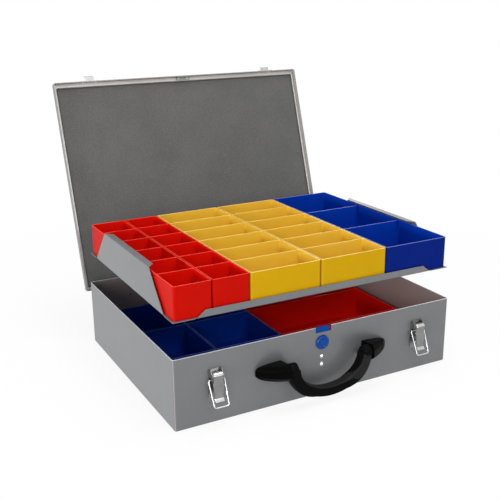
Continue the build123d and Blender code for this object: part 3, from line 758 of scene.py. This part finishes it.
# The grip's centre line: x and z from its pivot, and the way it runs, for t from -1 to 1
def gripLine(t):
    sideCentre = grip["halfSpan"] - grip["sideRadius"]
    lift = grip["drop"] - grip["sideRadius"]
    lowRadius = (sideCentre ** 2 + grip["drop"] ** 2 - grip["sideRadius"] ** 2) / (2 * lift)
    joinAngle = math.atan2(sideCentre, lowRadius - grip["drop"])
    lowLength = lowRadius * joinAngle
    sideLength = grip["sideRadius"] * (math.pi / 2 - joinAngle)
    along = abs(t) * (lowLength + sideLength)
    if along < lowLength:
        angle = along / lowRadius
        x = lowRadius * math.sin(angle)
        z = lowRadius - grip["drop"] - lowRadius * math.cos(angle)
    else:
        angle = joinAngle + (along - lowLength) / grip["sideRadius"]
        x = sideCentre + grip["sideRadius"] * math.sin(angle)
        z = -grip["sideRadius"] * math.cos(angle)
    direction = math.copysign(1, t) if t else 1
    return x * direction, z, angle * direction


# A ring of points between an ellipse and a rectangle: the higher the power, the squarer
def superRing(halfWide, halfDeep, power, count):
    def squarer(value):
        return math.copysign(abs(value) ** (2 / power), value)

    angles = [2 * math.pi * step / count for step in range(count)]
    return [(squarer(math.cos(angle)) * halfWide, squarer(math.sin(angle)) * halfDeep) for angle in angles]


def gripRing(t):
    x, z, angle = gripLine(t)
    arm = max(0.0, (abs(t) - grip["armFrom"]) / (1 - grip["armFrom"])) ** grip["armCurve"]
    wide = grip["lowWide"] * (1 - arm) + grip["armWide"] * arm + grip["armSwell"] * math.sin(math.pi * arm)
    deep = grip["lowDeep"] * (1 - arm) + grip["armDeep"] * arm
    swell = 1 + grip["lowSwell"] * math.cos(math.pi * t)
    ring = superRing(wide / 2 * swell, deep / 2 * swell, grip["squareness"], grip["ringPoints"])
    outX, outZ = math.sin(angle), -math.cos(angle)
    y, z = grip["pivotY"], z + grip["pivotZ"]
    return [(x + out * outX, y + across, z + out * outZ) for out, across in ring]


def gripKnuckle(side):
    inner, outer = side * grip["knuckleInner"], side * grip["knuckleOuter"]
    profile = [(inner + side * along, inset) for along, inset in grip["knuckleEdge"]]
    profile += [(outer - side * along, inset) for along, inset in reversed(grip["knuckleEdge"])]
    disc = []
    for x, inset in profile:
        circle = circlePoints(grip["knuckleRadius"] - inset, grip["knucklePoints"])
        disc.append([(x, grip["pivotY"] + y, grip["pivotZ"] + z) for y, z in circle])
    return skinRings(disc)


def handleGrip():
    steps = grip["steps"]
    points, faces = skinRings([gripRing(step / steps * 2 - 1) for step in range(steps + 1)])
    for side in sides.values():
        addShell(points, faces, *gripKnuckle(side))
    piece = makePiece("handleGrip", points, faces, "handleBlack")
    # Painted sheen on a run of sides of each ring
    piece.data.materials.append(finishes["handlePaintedSheen"])
    for polygon in piece.data.polygons:
        row, around = divmod(polygon.index, grip["ringPoints"])
        if row < steps:
            t = (row + 0.5) / steps * 2 - 1
            turn = min(1, max(0, (t - grip["turnFrom"]) / (grip["turnTo"] - grip["turnFrom"])))
            first = grip["sheenFrom"] + round(grip["sheenSides"] * turn)
            polygon.material_index = int(first <= around < first + grip["sheenSides"])
    standFor(piece, "handle_grip")


# Wedges that the grip swings in. A section's values are those at the grip, halfway and at the far end.
bracket = {
    "inner": 65.6, "length": 38.4, "front": -165, "centre": 58, "steps": 16,
    "round": (3.4, 2.2), "roundSteps": 6, "nose": 0.8, "noseShrink": 0.55, "cutEdge": 0.8,
    "sections": {
        "depth": (31.0, 20.4, 6.0), "ridge": (26.0, 15.8, 3.4), "ridgeUp": (11.5, 9.2, 5.2),
        "shoulder": (4.0, 3.0, 1.6), "backUp": (7.5, 6.6, 4.2), "frontLow": (-7.3, -7.4, -5.6),
        "keel": (18.0, 11.8, 3.2), "keelLow": (-16, -14.6, -10.0),
    },
}


# The value at a share of the way, on a curve through its three given values
def throughThree(values, share):
    first, middle, last = values
    return first + share * (4 * middle - 3 * first - last) + share * share * 2 * (first + last - 2 * middle)


def handleBracket(name, side):
    near, far = bracket["round"]
    rings = []
    for step in range(bracket["steps"] + 1):
        share = math.sin(math.pi / 2 * step / bracket["steps"])
        at = {key: throughThree(values, share) for key, values in bracket["sections"].items()}
        corners = [  # from the wall over the top, down the front and back to the wall
            (0, at["backUp"]), (at["ridge"], at["ridgeUp"]), (at["depth"], at["shoulder"]),
            (at["depth"], at["frontLow"]), (at["keel"], at["keelLow"]), (0, at["keelLow"]),
        ]
        nearEnd = max(0.0, (share - bracket["nose"]) / (1 - bracket["nose"]))
        shrink = 1 - bracket["noseShrink"] * (1 - math.sqrt(1 - nearEnd ** 2))
        middleUp = (at["backUp"] + at["keelLow"]) / 2
        corners = [(out * shrink, middleUp + (up - middleUp) * shrink) for out, up in corners]
        line = roundLine(corners, (near + (far - near) * share) * shrink, bracket["roundSteps"])
        x = side * (bracket["inner"] + share * bracket["length"])
        rings.append([(x, bracket["front"] - p.x, bracket["centre"] + p.y) for p in line])
    points, faces = skinRings(rings)
    piece = makePiece("handleBracket_" + name, points, faces, "bracketBlack")
    bevelEdges(piece, bracket["cutEdge"], segments=3)
    standFor(piece, "handle_bracket_" + name)


handleGrip()
for name, side in sides.items():
    handleBracket(name, side)
print("handle made")
for name, side in sides.items():
    latchLever(name, side)
print("levers pressed")


# Tray folded from sheet steel: end walls with turned-in lips, and low flanges at the front and the back
tray = {
    "halfWidth": 216.5, "halfDepth": 162.5, "floor": 147.4, "sheet": 1.0, "bend": 1.6, "bendSteps": 5,
    "foldStart": 6.0, "relief": 1.0, "cutEdge": 0.22, "shares": (-1, -0.5, 0, 0.5, 1),
    "endHeight": 51.5, "endFoot": 134.0, "endTop": 87.0, "lip": 10.5, "lipTip": 77.0,
    "flangeHeight": 10.0, "flangeFoot": 184.5, "flangeTop": 171.5,
}


def lineNormals(line):
    normals = []
    for i in range(len(line)):
        along = (line[min(i + 1, len(line) - 1)] - line[max(i - 1, 0)]).normalized()
        normals.append(Vector((-along.y, along.x)))
    return normals


# One upturned wall of the tray, from the floor sheet round its bends; its half length changes up the wall
def trayWall(corners, halfAt, place):
    line = roundLine(corners, tray["bend"], tray["bendSteps"])
    lifts = lineNormals(line)
    rows, normals = [], []
    for point, lift in zip(line, lifts):
        half = halfAt(point)
        rows.append([place(point, share * half) for share in tray["shares"]])
        direction = Vector(place(point + lift, 0)) - Vector(place(point, 0))
        normals.append([direction] * len(tray["shares"]))
    return sheetRows(rows, normals, tray["sheet"])


# Half the length of an end wall at a height, and of its lip at a distance from the middle
def endHalf(point):
    lipStart = tray["halfWidth"] - tray["bend"]
    up = point.y - tray["floor"]
    if abs(point.x) < lipStart - tiny and up > tray["sheet"]:
        share = (lipStart - abs(point.x)) / (tray["lip"] - tray["bend"])
        return tray["endTop"] - share * (tray["endTop"] - tray["lipTip"])
    share = min(1, max(0, up / tray["endHeight"]))
    return tray["endFoot"] - share * (tray["endFoot"] - tray["endTop"])


def flangeHalf(point):
    share = min(1, max(0, (point.y - tray["floor"]) / tray["flangeHeight"]))
    return tray["flangeFoot"] - share * (tray["flangeFoot"] - tray["flangeTop"])


# The floor sheet's outline, notched where the walls turn up
def trayOutline():
    insetX = tray["halfWidth"] - tray["foldStart"]
    insetY = tray["halfDepth"] - tray["foldStart"]
    endReach = tray["endFoot"] + tray["relief"]
    flangeReach = tray["flangeFoot"] + tray["relief"]
    quarter = [
        (insetX, endReach), (tray["halfWidth"], endReach), (tray["halfWidth"], tray["halfDepth"]),
        (flangeReach, tray["halfDepth"]), (flangeReach, insetY),
    ]
    outline = []
    for signX, signY in ((-1, -1), (1, -1), (1, 1), (-1, 1)):
        outline += [(signX * x, signY * y) for x, y in quarter[::signX * signY]]
    return outline


def trayPiece():
    low, fold = tray["floor"], tray["foldStart"]
    high, flangeTop = low + tray["endHeight"], low + tray["flangeHeight"]
    points, faces = [], []
    for side in sides.values():
        outer, front = side * tray["halfWidth"], side * tray["halfDepth"]
        end = [(outer - side * fold, low), (outer, low), (outer, high), (outer - side * tray["lip"], high)]
        flange = [(front - side * fold, low), (front, low), (front, flangeTop)]
        addShell(points, faces, *trayWall(end[::side], endHalf, lambda p, along: (p.x, along, p.y)))
        addShell(points, faces, *trayWall(flange[::side], flangeHalf, lambda p, along: (along, p.x, p.y)))
    levels = (low, low + tray["sheet"])
    addShell(points, faces, *skinRings([[(x, y, z) for x, y in trayOutline()] for z in levels]))
    piece = makePiece("foldedTray", points, faces, "satinSteel")
    bevelEdges(piece, tray["cutEdge"])
    standFor(piece, "tray")


trayPiece()
print("tray folded")

# The solids that stay get their sheared and pressed edges softened
softEdges = {
    "case_shell": 0.3, "lid_shell": 0.3, "lock_catch": 0.3, "latch_base_left": 0.3, "latch_base_right": 0.3,
    "lid_hook_left": 0.3, "lid_hook_right": 0.3, "lid_keeper": 0.2,
}
for nodeName, width in softEdges.items():
    bevelEdges(nodes[nodeName], width, angle=40)
print("edges softened:", len(softEdges))


# Camera and plain studio, at the photograph's viewing angle
camera = {
    "place": (-562.389, -1017.674, 531.550), "lens": 58.444, "sensor": 36, "farthest": 50,
    "right": (0.881896, -0.471352, -0.009283), "up": (0.149974, 0.261823, 0.953392),
    "forward": (0.446952, 0.842185, -0.301592),
}


def setCamera():
    data = bpy.data.cameras.new("photoCamera")
    data.lens = camera["lens"]
    data.sensor_width = camera["sensor"]
    data.clip_end = camera["farthest"]
    holder = bpy.data.objects.new("photoCamera", data)
    right, up, forward = (Vector(camera[key]) for key in ("right", "up", "forward"))
    turn = Matrix((right, up, -forward)).transposed().to_4x4()
    holder.matrix_world = Matrix.Translation(Vector(camera["place"]) * mm) @ turn
    bpy.context.scene.collection.objects.link(holder)
    bpy.context.scene.camera = holder


# Each lamp's place, aim and size in metres, and its power
lamps = {
    "key": {"place": (-4.0, -0.5, 0.43), "aim": (0, 0, 0.1), "size": 0.7, "power": 88},
    "top": {"place": (0.1, -0.1, 2.2), "aim": (0, 0, 0.1), "size": 1.6, "power": 39},
    "front": {"place": (-1.5, -1.6, 0.5), "aim": (0, 0, 0.1), "size": 0.9, "power": 14},
    "high": {"place": (0.1, -1.8, 1.12), "aim": (0, 0, 0.05), "size": 0.4, "power": 8.5},
    "back": {"place": (1.2, 2.2, 1.0), "aim": (0, 0, 0.15), "size": 1.0, "power": 5},
}


def addLamp(name):
    look = lamps[name]
    data = bpy.data.lights.new(name, "AREA")
    data.energy = look["power"]
    data.size = look["size"]
    holder = bpy.data.objects.new(name, data)
    holder.location = look["place"]
    towards = Vector(look["aim"]) - Vector(look["place"])
    holder.rotation_euler = towards.to_track_quat("-Z", "Y").to_euler()
    bpy.context.scene.collection.objects.link(holder)


studio = {
    "ambient": 0.34, "floorGrey": 0.8, "floorHalf": 6000, "floorZ": -0.2,
    "nearGlow": 0.88, "fadeFrom": 350, "fadeTo": 950,
}
white = (1, 1, 1, 1)


# White for what the camera, the gloss and clear things see, and a softer grey for the light itself
def whiteBehind(shading):
    rays = ("Is Camera Ray", "Is Glossy Ray", "Is Transmission Ray")
    seenBy, gloss, clear = [shading.add("ShaderNodeLightPath", {}, {}, ray) for ray in rays]
    seen = shading.add("ShaderNodeMath", {"operation": "MAXIMUM"}, {0: seenBy, 1: gloss})
    return shading.add("ShaderNodeMath", {"operation": "MAXIMUM"}, {0: seen, 1: clear})


def setStudio():
    world = bpy.data.worlds.new("studio")
    bpy.context.scene.world = world
    world.use_nodes = True
    shading = Shading(world.node_tree)
    soft = shading.add("ShaderNodeBackground", {}, {"Color": white, "Strength": studio["ambient"]})
    bright = shading.add("ShaderNodeBackground", {}, {"Color": white, "Strength": 1.0})
    mixed = shading.add("ShaderNodeMixShader", {}, {0: whiteBehind(shading), 1: soft, 2: bright})
    shading.add("ShaderNodeOutputWorld", {}, {"Surface": mixed}, None)


# The floor keeps a soft shadow near the case and fades to the background's white further out
def setFloor():
    material = bpy.data.materials.new("paleFloor")
    material.use_nodes = True
    shading = Shading(material.node_tree)
    place = shading.add("ShaderNodeTexCoord", {}, {}, "Object")
    reach = shading.add("ShaderNodeVectorMath", {"operation": "LENGTH"}, {0: place}, "Value")
    fade = {
        "Value": reach, "From Min": studio["fadeFrom"] * mm, "From Max": studio["fadeTo"] * mm,
        "To Min": studio["nearGlow"], "To Max": 1.0,
    }
    glowShare = shading.add("ShaderNodeMapRange", {}, fade, "Result")
    dull = shading.add("ShaderNodeBsdfDiffuse", {}, {"Color": (studio["floorGrey"],) * 3 + (1,)})
    glow = shading.add("ShaderNodeEmission", {}, {"Color": white, "Strength": 1.0})
    mixed = shading.add("ShaderNodeMixShader", {}, {0: whiteBehind(shading) * glowShare, 1: dull, 2: glow})
    shading.add("ShaderNodeOutputMaterial", {}, {"Surface": mixed}, None)
    finishes["paleFloor"] = material
    half, z = studio["floorHalf"], studio["floorZ"]
    corners = [(-half, -half, z), (half, -half, z), (half, half, z), (-half, half, z)]
    makePiece("floor", corners, [(0, 1, 2, 3)], "paleFloor", smooth=False)


setCamera()
for lampName in lamps:
    addLamp(lampName)
setStudio()
setFloor()
bpy.context.scene.view_settings.view_transform = "Standard"
print("studio set")
